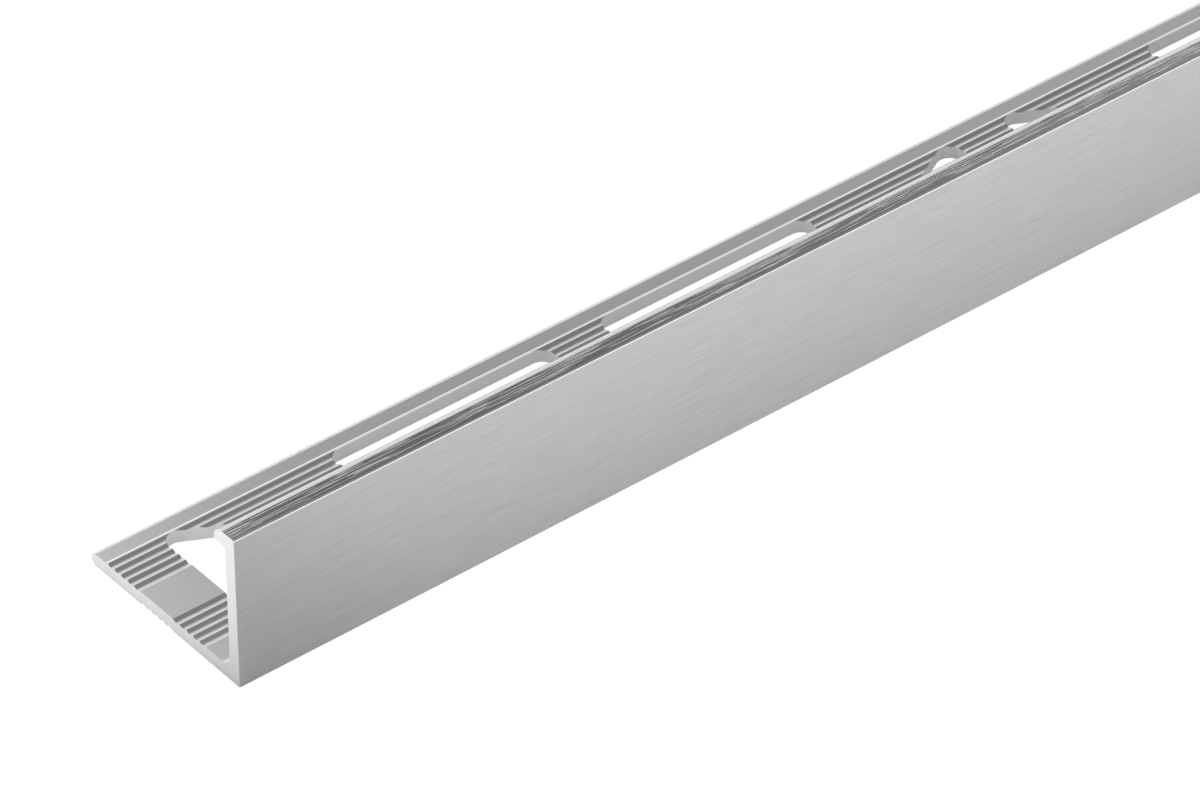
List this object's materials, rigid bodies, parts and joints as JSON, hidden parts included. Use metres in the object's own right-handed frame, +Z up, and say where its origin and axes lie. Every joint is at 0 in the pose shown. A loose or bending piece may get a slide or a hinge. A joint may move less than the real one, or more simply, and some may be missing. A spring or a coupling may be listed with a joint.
{
  "type": "tile edge trim",
  "caption": "Straight L-shaped edge trim for tiles, with a plain wall, a short lip turned in at the top and a toothed, punched anchoring leg.",
  "frame": {"origin": "on the floor under the middle of the piece, at the bottom centre of its box", "axes": "+X along the length, away from the pictured cut end; +Y from the wall's outer face to the leg's toe; +Z up the wall"},
  "size_m": [1, 0.0264, 0.02],
  "materials": {
    "aluminium": "natural anodised, finely brushed along the length"
  },
  "bodies": {
    "root": {"edge_trim": "aluminium"}
  },
  "joints": []
}
